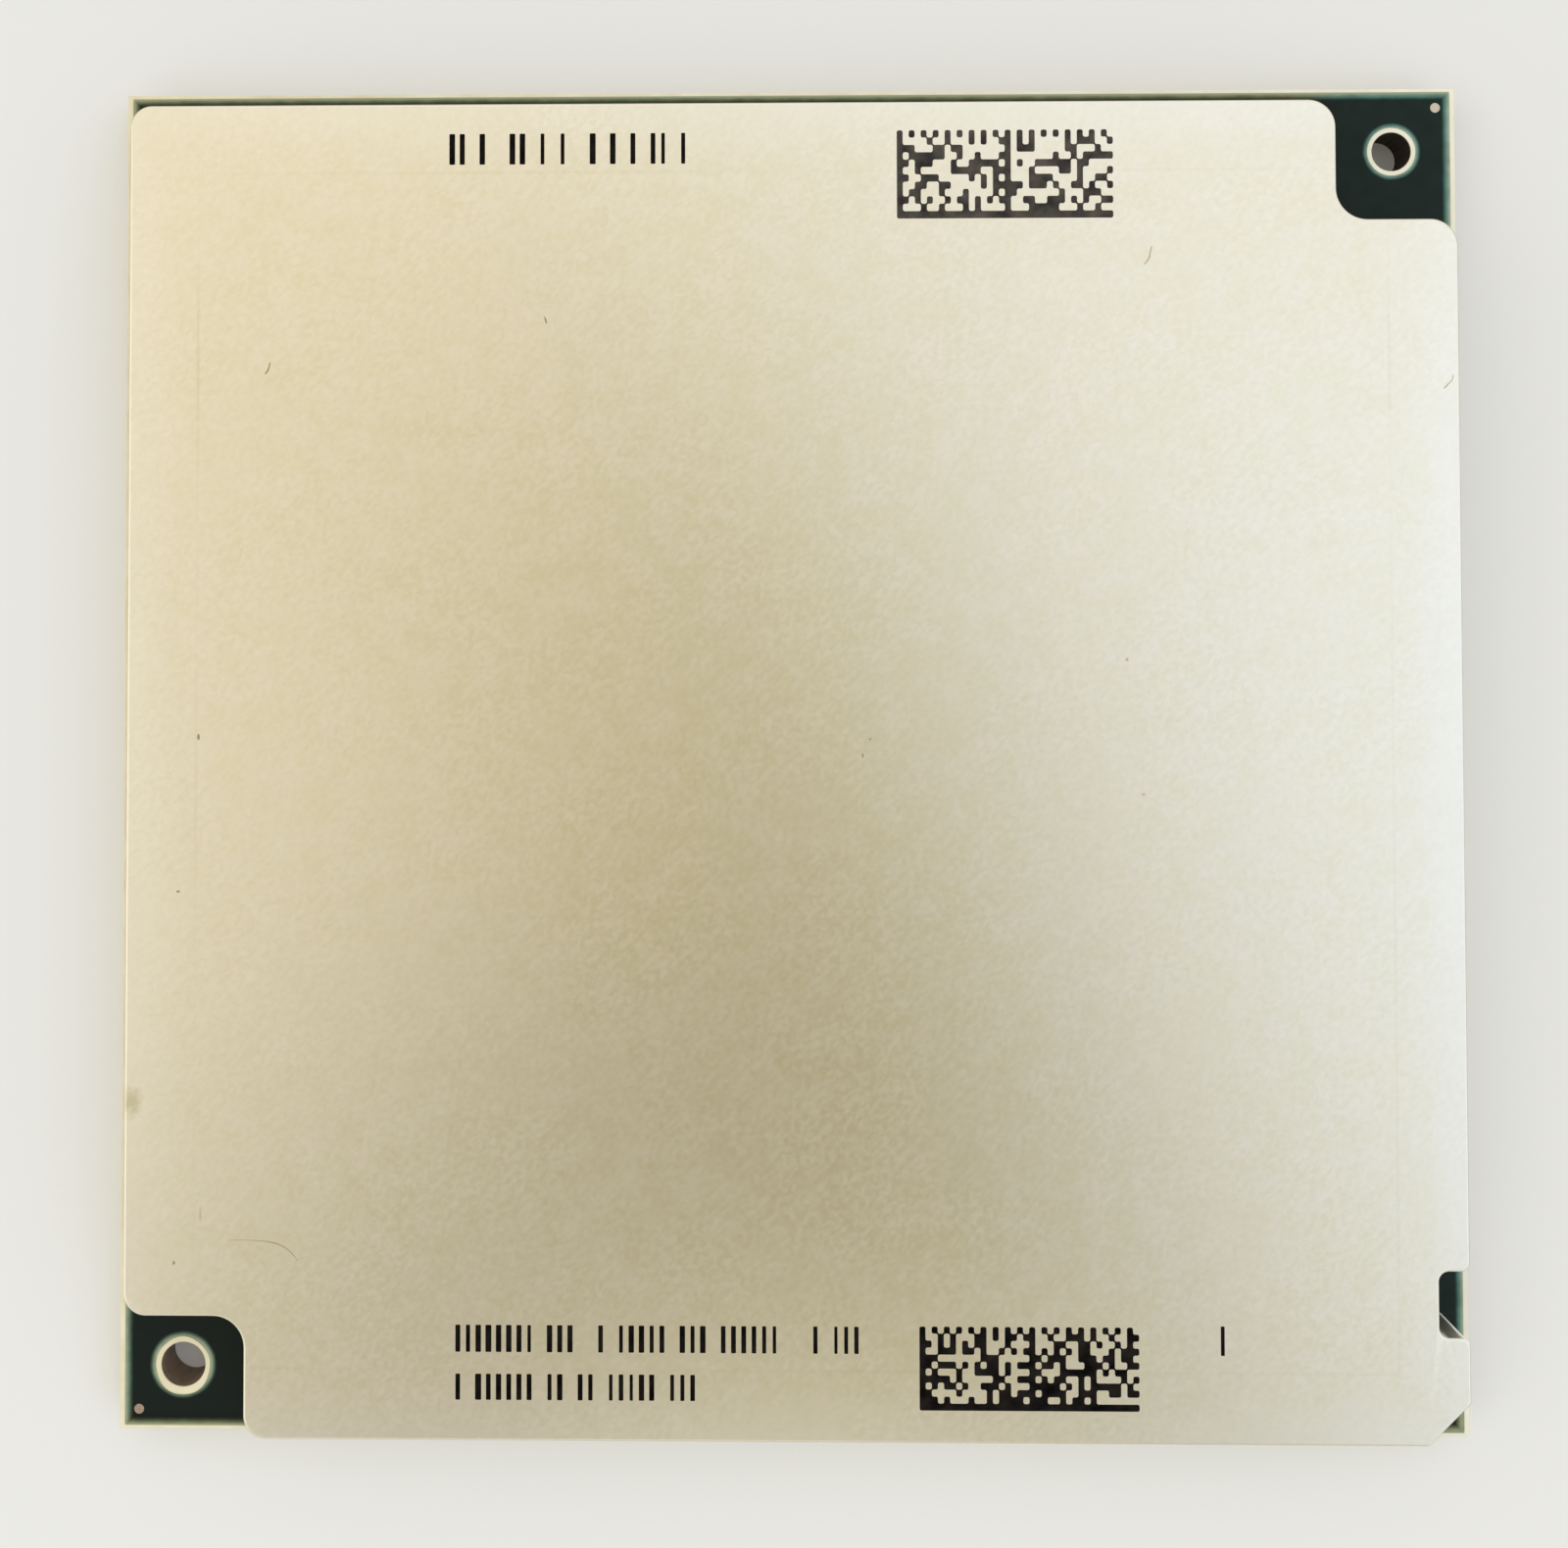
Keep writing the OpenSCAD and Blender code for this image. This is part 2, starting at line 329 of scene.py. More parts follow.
def mask_finish():
    """Dark green lacquer that follows the copper under it."""
    material, tree, shader, place = new_finish("solder mask")
    band_w = 0.8 * mm
    band_ragged = 0.08 * mm
    ring_start = 0.22 * mm
    ring_narrow = 1.45
    corner_widen = 0.1 * mm
    corner_fade = (1.0 * mm, 2.6 * mm)
    pore_depth = 0.002 * mm
    from_side, from_ring = from_edges(tree, place)
    corner = (substrate_half, -substrate_half, upper_high.z)
    to_corner = knot(tree, "ShaderNodeVectorMath", {0: place, 1: corner}, operation="DISTANCE")
    away = to_corner.node.outputs["Value"]
    cut_back = spread(tree, away, *corner_fade, corner_widen, 0.0)
    round_hole = sums(tree, "ADD", sums(tree, "MULTIPLY", from_ring, ring_narrow), ring_start)
    bare = sums(tree, "MINIMUM", from_side, round_hole)
    bare = sums(tree, "SUBTRACT", bare, cut_back)
    wander = sums(tree, "SUBTRACT", noise(tree, place, 1500, 2), 0.5)
    ragged = sums(tree, "MULTIPLY", wander, band_ragged)
    inward = sums(tree, "DIVIDE", sums(tree, "ADD", bare, ragged), band_w)
    olive = ramp(
        tree,
        inward,
        (0.3, tint(150, 156, 126)),
        (0.4, tint(124, 130, 100)),
        (0.52, tint(80, 86, 60)),
        (0.64, tint(40, 45, 28)),
        (0.76, tint(9, 14, 10)),
    )
    teal = ramp(
        tree,
        inward,
        (0.3, tint(150, 168, 152)),
        (0.42, tint(106, 136, 124)),
        (0.54, tint(78, 112, 102)),
        (0.64, tint(36, 70, 64)),
        (0.74, tint(20, 34, 29)),
    )
    parts = knot(tree, "ShaderNodeSeparateXYZ", {0: place}).node.outputs
    aside = spread(tree, sums(tree, "ABSOLUTE", parts["X"]), 26 * mm, 29 * mm)
    ahead = spread(tree, sums(tree, "ABSOLUTE", parts["Y"]), 20 * mm, 24 * mm)
    off_cut = spread(tree, away, 1.5 * mm, 3 * mm)
    slant = sums(tree, "SUBTRACT", parts["Y"], parts["X"])
    off_left = spread(tree, slant, 50 * mm, 55 * mm, 1.0, 0.0)
    off_front = spread(tree, parts["Y"], -34 * mm, -33.2 * mm)
    bluish = spread(tree, parts["X"], -substrate_half, substrate_half, 0.45, 1.0)
    for share in (aside, ahead, off_cut, off_left, off_front):
        bluish = sums(tree, "MULTIPLY", bluish, share)
    band = blend(tree, bluish, olive, teal)
    cloud = noise(tree, place, 900, 4)
    clouded = blend(tree, spread(tree, cloud, 0.35, 0.75, 0.0, 0.3), band, tint(13, 22, 20))
    tree.links.new(clouded, shader.inputs["Base Color"])
    pores = noise(tree, place, 12000, 2)
    tree.links.new(spread(tree, cloud, 0.3, 0.7, 0.42, 0.55), shader.inputs["Roughness"])
    tree.links.new(relief(tree, pores, pore_depth), shader.inputs["Normal"])
    shader.inputs["Specular IOR Level"].default_value = 0.12
    return material


mask_outlines = [square_outline(mask_half)]
for x, y, radius, bare_ring in guide_holes:
    mask_outlines.append(hole_outline(x, y, radius + bare_ring, drill_steps))
dot_openings = [hole_outline(x, y, dot_radius, dot_steps) for x, y in dots]
solder_mask = mask_finish()
large_x, large_y = guide_holes[-1][:2]
worn_opening = worn_outline(large_x + worn_shift[0], large_y + worn_shift[1])
upper_outlines = mask_outlines[:-1] + [worn_opening] + dot_openings
upper_mask = make_plate(upper_outlines, upper_low.z, upper_high.z, mask_break)
add_shell("upper_mask", upper_mask, solder_mask, "solder_mask", "top_solder_mask")
lower_mask = make_plate(mask_outlines, lower_low.z, lower_high.z, mask_break)
add_shell("lower_mask", lower_mask, solder_mask, "solder_mask", "bottom_solder_mask")

# Fiducial dots: small bare copper pads that the placing machine's camera looks for.
# They are etched with the outer copper layer and left open in the mask.


def copper_finish():
    """Bare copper under a thin dull film."""
    material, tree, shader, place = new_finish("dull copper")
    cloud = noise(tree, place, 6000, 4)
    across = knot(tree, "ShaderNodeSeparateXYZ", {0: place}).node.outputs["X"]
    brown = ramp(tree, cloud, (0.3, tint(148, 124, 104)), (0.7, tint(170, 148, 128)))
    beige = ramp(tree, cloud, (0.3, tint(186, 172, 154)), (0.7, tint(204, 194, 178)))
    film = blend(tree, spread(tree, across, -dot_at, dot_at), brown, beige)
    tree.links.new(film, shader.inputs["Base Color"])
    tree.links.new(spread(tree, cloud, 0.3, 0.7, 0.5, 0.65), shader.inputs["Roughness"])
    tree.links.new(relief(tree, cloud, 0.004 * mm), shader.inputs["Normal"])
    shader.inputs["Metallic"].default_value = 0.3
    return material


fiducials = bmesh.new()
for x, y in dots:
    rim = round_outline(x, y, dot_radius, dot_steps)
    profile = [(0, dot_low.z), (0, dot_high.z - mask_break), (mask_break, dot_high.z)]
    lower_ring, upper_ring = raise_wall(fiducials, rim, profile)
    close_face(fiducials, [lower_ring], -1)
    close_face(fiducials, [upper_ring], 1)
add_shell("fiducial_dots", fiducials, copper_finish(), "bare_copper", "fiducial_marks")

# Contact lands: round copper pads plated with nickel and a little gold, in a square grid.
# They are etched with the lower copper layer. The socket's springs press on them,
# and the two corners with a guide hole have none.
land_low, land_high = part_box("land_field")
pad_diameter = 0.66 * mm
pads_per_side = 62
pad_sides = 12
corner_clear = 2.7 * mm


def tree_inputs(tree, **kinds):
    """Gives a node tree its named inputs and returns their outputs by name."""
    for name, kind in kinds.items():
        tree.interface.new_socket(name, in_out="INPUT", socket_type="NodeSocket" + kind)
    tree.interface.new_socket("Geometry", in_out="OUTPUT", socket_type="NodeSocketGeometry")
    return tree.nodes.new("NodeGroupInput").outputs


def end_tree(tree, instances, material, weld=0.0):
    """Ends a node tree: the copies become one mesh in one material, welded where they touch."""
    whole = knot(tree, "GeometryNodeRealizeInstances", {0: instances})
    if weld:
        whole = knot(tree, "GeometryNodeMergeByDistance", {"Geometry": whole, "Distance": weld})
    dressed = knot(tree, "GeometryNodeSetMaterial", {"Geometry": whole, "Material": material})
    tree.links.new(dressed, tree.nodes.new("NodeGroupOutput").inputs[0])


def grow(name, tree, **sizes):
    """Runs a node tree with the given sizes and keeps the result as a plain mesh."""
    start = bpy.data.objects.new(name + "_start", bpy.data.meshes.new(name + "_start"))
    bpy.context.scene.collection.objects.link(start)
    modifier = start.modifiers.new("tree", "NODES")
    modifier.node_group = tree
    for item in tree.interface.items_tree:
        if item.in_out == "INPUT":
            modifier[item.identifier] = sizes[item.name]
    depsgraph = bpy.context.evaluated_depsgraph_get()
    data = bpy.data.meshes.new_from_object(start.evaluated_get(depsgraph), depsgraph=depsgraph)
    start.modifiers.remove(modifier)
    bpy.data.objects.remove(start)
    data.name = name
    return data


def land_tree():
    """A square grid of low round pads, left out where both coordinates reach a guide hole's corner."""
    tree = bpy.data.node_groups.new("contact lands", "GeometryNodeTree")
    size = tree_inputs(
        tree,
        Field="Float",
        Count="Int",
        Diameter="Float",
        Height="Float",
        Corner="Float",
        Finish="Material",
    )
    radius = sums(tree, "DIVIDE", size["Diameter"], 2.0)
    run = sums(tree, "SUBTRACT", size["Field"], size["Diameter"])
    grid = knot(tree, "GeometryNodeMeshGrid", {0: run, 1: run, 2: size["Count"], 3: size["Count"]})
    spot = knot(tree, "GeometryNodeInputPosition", {})
    parts = knot(tree, "ShaderNodeSeparateXYZ", {0: spot}).node.outputs
    aside, ahead = [sums(tree, "ABSOLUTE", parts[axis]) for axis in ("X", "Y")]
    near = sums(tree, "MINIMUM", aside, ahead)
    same_side = sums(tree, "GREATER_THAN", sums(tree, "MULTIPLY", parts["X"], parts["Y"]), 0.0)
    in_corner = sums(tree, "GREATER_THAN", near, sums(tree, "SUBTRACT", size["Corner"], radius))
    taken = sums(tree, "MULTIPLY", same_side, in_corner)
    kept = knot(tree, "GeometryNodeDeleteGeometry", {0: grid, "Selection": taken}, domain="POINT")
    pad_size = {"Vertices": pad_sides, "Radius": radius, "Depth": size["Height"]}
    pad = knot(tree, "GeometryNodeMeshCylinder", pad_size)
    half_up = knot(tree, "ShaderNodeCombineXYZ", {"Z": sums(tree, "DIVIDE", size["Height"], 2.0)})
    seated = knot(tree, "GeometryNodeTransform", {"Geometry": pad, "Translation": half_up})
    pads = knot(tree, "GeometryNodeInstanceOnPoints", {"Points": kept, "Instance": seated})
    end_tree(tree, pads, size["Finish"])
    return tree


def gold_finish():
    """Thin gold over nickel, a little uneven."""
    material, tree, shader, place = new_finish("gold plate")
    cloud = noise(tree, place, 2500, 3)
    gold = ramp(tree, cloud, (0.3, tint(214, 178, 104)), (0.7, tint(232, 204, 138)))
    tree.links.new(gold, shader.inputs["Base Color"])
    tree.links.new(spread(tree, cloud, 0.3, 0.7, 0.28, 0.42), shader.inputs["Roughness"])
    tree.links.new(relief(tree, noise(tree, place, 20000, 2), 0.001 * mm), shader.inputs["Normal"])
    shader.inputs["Metallic"].default_value = 1.0
    return material


gold_plate = gold_finish()
lands = grow(
    "contact_pads",
    land_tree(),
    Field=land_high.x - land_low.x,
    Count=pads_per_side,
    Diameter=pad_diameter,
    Height=land_high.z - land_low.z,
    Corner=guide_holes[0][0] - corner_clear,
    Finish=gold_plate,
)
add_piece("contact_pads", lands, gold_plate, "gold_plate", "land_field")

# Under the lid: the die on its resin, the soft pad on top of it, the ring of chip capacitors
# and the band of adhesive that holds the lid. All of them are soldered or dispensed in place
# before the lid goes on, and only the adhesive shows, as a dark line under the lid's foot.


def grained_finish(name, dark, pale, roughness, metallic, grain, depth):
    """A plain finish with a fine grain in its colour, gloss and relief."""
    material, tree, shader, place = new_finish(name)
    cloud = noise(tree, place, grain, 4)
    tree.links.new(ramp(tree, cloud, (0.3, dark), (0.7, pale)), shader.inputs["Base Color"])
    gloss = spread(tree, cloud, 0.3, 0.7, roughness - 0.06, roughness + 0.06)
    tree.links.new(gloss, shader.inputs["Roughness"])
    tree.links.new(relief(tree, cloud, depth), shader.inputs["Normal"])
    shader.inputs["Metallic"].default_value = metallic
    return material


inner_finishes = {
    "die": grained_finish(
        "ground silicon", tint(70, 74, 84), tint(92, 97, 108), 0.3, 0.6, 9000, 0.001 * mm
    ),
    "underfill": grained_finish(
        "resin", tint(30, 32, 36), tint(44, 46, 50), 0.35, 0, 4000, 0.004 * mm
    ),
    "thermal_interface": grained_finish(
        "filled gel", tint(140, 144, 150), tint(172, 175, 180), 0.7, 0, 7000, 0.006 * mm
    ),
    "capacitor_bodies": grained_finish(
        "fired ceramic", tint(128, 92, 62), tint(156, 120, 86), 0.55, 0, 8000, 0.003 * mm
    ),
    "capacitor_terminals": grained_finish(
        "dull tin", tint(184, 187, 190), tint(212, 214, 216), 0.4, 1, 8000, 0.003 * mm
    ),
    "lid_seal": grained_finish(
        "silicone", tint(46, 47, 49), tint(66, 67, 69), 0.6, 0, 3000, 0.01 * mm
    ),
}
for node_name, inner_finish in inner_finishes.items():
    slots = frame["nodes"][node_name].data.materials
    slots.clear()
    slots.append(inner_finish)

# Lid: a copper heat spreader, stamped and coined with a hollow below, then plated with satin nickel.
# Two corners are notched for the guide pins, one is cut to mark the first land,
# and a small slot in one edge keys it; all its upper edges are rounded by the stamping.
lid_low, lid_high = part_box("lid")
lid_x = (lid_low.x + lid_high.x) / 2
lid_y = (lid_low.y + lid_high.y) / 2
lid_half = (lid_high.x - lid_low.x) / 2
print_t = 0.004 * mm
lid_top = lid_high.z - print_t
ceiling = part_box("thermal_interface")[1].z
roll_w = 0.12 * mm
roll_h = 0.06 * mm
foot_break = 0.08 * mm
foot_w = 3.75 * mm
recess_r = 1.5 * mm
hole_to_wall = 4.05 * mm
notch_wall = guide_holes[0][0] - hole_to_wall
notch_r = 1.55 * mm
upper_mouth_r = 1.35 * mm
lower_mouth_r = 1.1 * mm
whole_corner_r = 1.05 * mm
cut_leg = 2.05 * mm
cut_r = 0.3 * mm
slot_side = 1.6 * mm
slot_depth = 1.5 * mm
slot_from_corner = 6.8 * mm
slot_y = slot_from_corner - lid_half
slot_r = 0.5 * mm
slot_mouth_r = 0.45 * mm
arc_steps = 12
roll_steps = 8


def rounded_outline(corners):
    """An outline through (x, y, radius) corners, run anticlockwise, which inset draws in."""
    arcs = []
    for i, (x, y, radius) in enumerate(corners):
        corner = Vector((x, y))
        before = (corner - Vector(corners[i - 1][:2])).normalized()
        after = (Vector(corners[(i + 1) % len(corners)][:2]) - corner).normalized()
        turn = math.atan2(before.cross(after), before.dot(after))
        side = math.copysign(1, turn)
        left = Vector((-before.y, before.x)) * side
        centre = corner - before * radius * math.tan(abs(turn) / 2) + left * radius
        arcs.append((centre, radius, side, math.atan2(-left.y, -left.x), turn))

    def points(inset):
        found = []
        for centre, radius, side, start, turn in arcs:
            reach = radius - side * inset
            for step in range(arc_steps + 1):
                angle = start + turn * step / arc_steps
                x = lid_x + centre.x + reach * math.cos(angle)
                y = lid_y + centre.y + reach * math.sin(angle)
                found.append((x, y))
        return found
    return points


lid_outline = rounded_outline([
    (-notch_wall, -lid_half, lower_mouth_r),
    (lid_half - cut_leg, -lid_half, cut_r),
    (lid_half, cut_leg - lid_half, cut_r),
    (lid_half, slot_y - slot_side, slot_mouth_r),
    (lid_half - slot_depth, slot_y - slot_side, slot_r),
    (lid_half - slot_depth, slot_y + slot_side, slot_r),
    (lid_half, slot_y + slot_side, slot_mouth_r),
    (lid_half, notch_wall, upper_mouth_r),
    (notch_wall, notch_wall, notch_r),
    (notch_wall, lid_half, upper_mouth_r),
    (-lid_half, lid_half, whole_corner_r),
    (-lid_half, -notch_wall, lower_mouth_r),
    (-notch_wall, -notch_wall, notch_r),
])
recess_half = lid_half - foot_w
recess_wall = notch_wall - foot_w
recess_outline = rounded_outline([
    (-recess_wall, -recess_half, recess_r),
    (recess_half, -recess_half, recess_r),
    (recess_half, recess_wall, recess_r),
    (recess_wall, recess_wall, notch_r + foot_w),
    (recess_wall, recess_half, recess_r),
    (-recess_half, recess_half, recess_r),
    (-recess_half, -recess_wall, recess_r),
    (-recess_wall, -recess_wall, notch_r + foot_w),
])
lid_profile = [(foot_break, lid_low.z), (0, lid_low.z + foot_break)]
for step in range(roll_steps + 1):
    lean = math.pi / 2 * step / roll_steps
    lid_profile.append((roll_w * (1 - math.cos(lean)), lid_top - roll_h * (1 - math.sin(lean))))

# Painted light in the lid's colour: a painted sheen toward its edges, a painted shade line over the
# recess edge and a painted glint at the slot's mouth.
painted_edge_sheen_w = 3.2 * mm
painted_foot_sheen_ends = (foot_w - 0.2 * mm, foot_w + 1.0 * mm)
line_inset = 3.45 * mm
line_half = 0.14 * mm
line_plain_y = 20.3 * mm
line_plain_fade = (2.0 * mm, 3.5 * mm)
painted_glint_fade = (0.5 * mm, 0.8 * mm)
grain_depth = 0.0012 * mm
cloud_depth = 0.0008 * mm
stains = [
    ((-32.6 * mm, -16.67 * mm), (0.75 * mm, 1.0 * mm), 0.5, tint(176, 164, 112)),
    ((-29.11 * mm, -22.13 * mm), (0.09 * mm, 0.6 * mm), 0.5, tint(184, 170, 112)),
]


def nickel_finish():
    """Satin nickel: patchy fine grain and stains, with painted light: a painted sheen toward the edges
    and over the foot's inner edge, a painted shade line over the recess edge, painted shade on the
    rounded edges and a painted glint at the slot's mouth.
    """
    material, tree, shader, place = new_finish("satin nickel")
    cloud = noise(tree, place, 700, 2)
    aslant = {"Vector": place, "Rotation": (0, 0, math.pi / 4), "Scale": (1.3, 1, 1)}
    grain_place = knot(tree, "ShaderNodeMapping", aslant, vector_type="TEXTURE")
    grain = noise(tree, grain_place, 3300, 3)
    grain.node.inputs["Distortion"].default_value = 0.5
    patch = spread(tree, noise(tree, place, 170, 2), 0.3, 0.7, 0.5, 1.0)
    swing = sums(tree, "MULTIPLY", sums(tree, "SUBTRACT", grain, 0.5), patch)
    uneven = sums(tree, "ADD", swing, 0.5)
    coarse = sums(tree, "MULTIPLY", cloud, 0.25)
    mottle = sums(tree, "ADD", coarse, sums(tree, "MULTIPLY", uneven, 0.75))
    dull = ramp(tree, cloud, (0.35, tint(218, 211, 188)), (0.65, tint(218, 211, 191)))
    fine = ramp(tree, cloud, (0.35, tint(226, 219, 201)), (0.65, tint(226, 219, 204)))
    plate = blend(tree, spread(tree, mottle, 0.3, 0.7), dull, fine)
    parts = knot(tree, "ShaderNodeSeparateXYZ", {0: place}).node.outputs
    u = sums(tree, "SUBTRACT", parts["X"], lid_x)
    v = sums(tree, "SUBTRACT", parts["Y"], lid_y)
    reach = sums(tree, "MAXIMUM", sums(tree, "ABSOLUTE", u), sums(tree, "ABSOLUTE", v))
    rim = sums(tree, "SUBTRACT", lid_half, reach)
    # Painted sheen: the colour pales toward the lid's edges and a little just inside the foot's edge,
    # where the top reflects more light.
    painted_edge_sheen = spread(tree, rim, 0.0, painted_edge_sheen_w, 0.85, 0.0)
    painted_foot_sheen = spread(tree, rim, *painted_foot_sheen_ends, 0.15, 0.0)
    sheen_tone = ramp(tree, mottle, (0.3, tint(221, 216, 201)), (0.7, tint(229, 224, 211)))
    sheened_plate = blend(tree, sums(tree, "ADD", painted_edge_sheen, painted_foot_sheen), plate, sheen_tone)
    # Painted shade: a darker line along the foot's inner edge, where the coined top dips; noise breaks
    # it up, and it shows most near line_plain_y.
    from_line = sums(tree, "ABSOLUTE", sums(tree, "SUBTRACT", rim, line_inset))
    shade_line_patches = spread(tree, noise(tree, place, 90, 2), 0.4, 0.65, 0.03, 0.1)
    from_plain = sums(tree, "ABSOLUTE", sums(tree, "SUBTRACT", parts["Y"], line_plain_y))
    shown = sums(tree, "ADD", shade_line_patches, spread(tree, from_plain, *line_plain_fade, 0.1, 0.0))
    line = sums(tree, "MULTIPLY", spread(tree, from_line, 0.0, line_half, 1.0, 0.0), shown)
    colour = blend(tree, line, sheened_plate, tint(186, 174, 140))
    for (x, y), (width, length), share, stain in stains:
        aside = sums(tree, "DIVIDE", sums(tree, "SUBTRACT", parts["X"], x), width)
        along = sums(tree, "DIVIDE", sums(tree, "SUBTRACT", parts["Y"], y), length)
        off = knot(tree, "ShaderNodeCombineXYZ", {"X": aside, "Y": along})
        away = knot(tree, "ShaderNodeVectorMath", {0: off}, operation="LENGTH").node.outputs["Value"]
        ragged = sums(tree, "ADD", away, sums(tree, "SUBTRACT", grain, 0.5))
        colour = blend(tree, spread(tree, ragged, 0.1, 1.0, share, 0.0), colour, stain)
    facing = tree.nodes.new("ShaderNodeNewGeometry").outputs["Normal"]
    turned = knot(tree, "ShaderNodeSeparateXYZ", {0: facing}).node.outputs
    steep = sums(tree, "ABSOLUTE", turned["Z"])
    off_wall = spread(tree, steep, 0.02, 0.2)
    # Painted shade: the rounded edges are darkened to dim the light that they reflect.
    painted_roll_shade = sums(tree, "MULTIPLY", spread(tree, turned["Z"], 0.9, 0.99, 0.8, 0.0), off_wall)
    colour = blend(tree, painted_roll_shade, colour, tint(203, 196, 178))
    # Painted highlight: the upright corner at the slot's lower mouth is painted near white and made
    # non-metallic, a painted glint.
    spot = knot(tree, "ShaderNodeCombineXYZ", {"X": u, "Y": v})
    mouth = (lid_half, slot_y - slot_side, 0)
    to_mouth = knot(tree, "ShaderNodeVectorMath", {0: spot, 1: mouth}, operation="DISTANCE")
    near_mouth = spread(tree, to_mouth.node.outputs["Value"], *painted_glint_fade, 1.0, 0.0)
    rightward, backward = [spread(tree, turned[axis], 0.1, 0.4) for axis in ("X", "Y")]
    painted_glint = sums(tree, "MULTIPLY", sums(tree, "MULTIPLY", rightward, backward), near_mouth)
    tree.links.new(blend(tree, painted_glint, colour, tint(246, 246, 242)), shader.inputs["Base Color"])
    tree.links.new(sums(tree, "SUBTRACT", 1.0, painted_glint), shader.inputs["Metallic"])
    sheared = spread(tree, steep, 0.1, 0.6, 0.1, 0.0)
    gloss = sums(tree, "ADD", spread(tree, mottle, 0.3, 0.7, 0.245, 0.265), sheared)
    tree.links.new(gloss, shader.inputs["Roughness"])
    blasted = relief(tree, uneven, grain_depth)
    tree.links.new(relief(tree, cloud, cloud_depth, blasted), shader.inputs["Normal"])
    return material


lid = bmesh.new()
foot_ring, top_ring = raise_wall(lid, lid_outline, lid_profile)
hollow_profile = [(0, lid_low.z), (0, ceiling)]
hollow_foot, hollow_top = raise_wall(lid, lambda inset: recess_outline(inset)[::-1], hollow_profile)
close_face(lid, [top_ring], 1)
close_face(lid, [foot_ring, hollow_foot], -1)
close_face(lid, [hollow_top], -1)
nickel = nickel_finish()
add_shell("nickel_lid", lid, nickel, "nickel_plate", "lid")

# Marks on the lid: two fields of small dark cells and rows of plain bars, which a laser
# blackened in the nickel. The cells run together as the beam leaves them.
# They and the bars are a seeded random pattern that says nothing.
code_columns = 36
code_rows = 12
cell_round = 0.3
cell_steps = 4
bar_round = 0.2
bar_widening = (1.0, 2.0)
weld_reach = 0.0001 * mm


def code_tile(number):
    """The meeting point of four cells, dark or bare as number says, with rounded corners."""
    dark = [number >> k & 1 for k in range(4)]
    turns = [math.pi / 2 * step / cell_steps for step in range(cell_steps + 1)]
    arc = [(cell_round * (1 - math.sin(turn)), cell_round * (1 - math.cos(turn))) for turn in turns]
    loops = []
    for k, (side, rise) in enumerate(((-1, -1), (1, -1), (1, 1), (-1, 1))):
        if dark[k]:
            inner = arc if sum(dark) == 1 else [arc[0], (0, 0), arc[-1]]
            loop = [(0.5, 0), (0.5, 0.5), (0, 0.5)] + inner[::-1]
        elif dark[k - 1] and dark[(k + 1) % 4]:
            loop = [(0, 0)] + arc
        else:
            continue
        placed = [(side * x, rise * y) for x, y in loop]
        loops.append(placed if side * rise > 0 else placed[::-1])
    mesh = bmesh.new()
    corners = {}

    def vertex(point, z):
        key = (round(point[0], 6), round(point[1], 6), z)
        if key not in corners:
            corners[key] = mesh.verts.new(key)
        return corners[key]

    edges = [(loop[i - 1], loop[i]) for loop in loops for i in range(len(loop))]
    for loop in loops:
        mesh.faces.new([vertex(point, 1) for point in loop])
        mesh.faces.new([vertex(point, 0) for point in loop[::-1]])
    for a, b in edges:
        shared = (b, a) in edges
        outer = any(abs(a[axis]) == 0.5 and a[axis] == b[axis] for axis in (0, 1))
        if not shared and not outer:
            mesh.faces.new([vertex(a, 0), vertex(b, 0), vertex(b, 1), vertex(a, 1)])
    data = bpy.data.meshes.new("tile")
    mesh.to_mesh(data)
    mesh.free()
    return bpy.data.objects.new("tile_%02d" % number, data)


def chance(tree, share, seed, which=None):
    """True for a share of the points."""
    made = knot(tree, "FunctionNodeRandomValue", {}, data_type="BOOLEAN").node
    tree.links.new(share, made.inputs["Probability"])
    tree.links.new(seed, made.inputs["Seed"])
    if which is not None:
        tree.links.new(which, made.inputs["ID"])
    return made.outputs[3]


